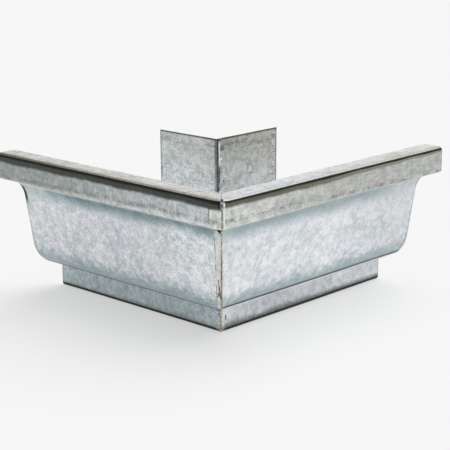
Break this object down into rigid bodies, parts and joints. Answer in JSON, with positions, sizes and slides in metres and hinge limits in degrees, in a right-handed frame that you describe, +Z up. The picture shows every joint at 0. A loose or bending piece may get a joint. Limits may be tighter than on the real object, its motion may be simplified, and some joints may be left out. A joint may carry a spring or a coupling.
{
  "type": "gutter external angle",
  "caption": "Mitred corner piece of galvanised steel ogee gutter that turns an eaves gutter round the outside corner of a building.",
  "frame": {"origin": "centre of the footprint, on the plane that the gutter's floor rests on", "axes": "+Z up; the right arm runs along +X and the left arm along +Y; the mitred front corner points to -X -Y"},
  "size_m": [0.1786, 0.173, 0.086],
  "materials": {
    "galvanised_steel": "hot-dip galvanised sheet, mottled grey spangle with handling marks",
    "solder": "dull tin-lead solder, smeared along the seams"
  },
  "bodies": {
    "root": {"right_arm": "galvanised_steel", "left_arm": "galvanised_steel", "front_seam_solder": "solder", "floor_seam_solder": "solder"}
  },
  "joints": []
}
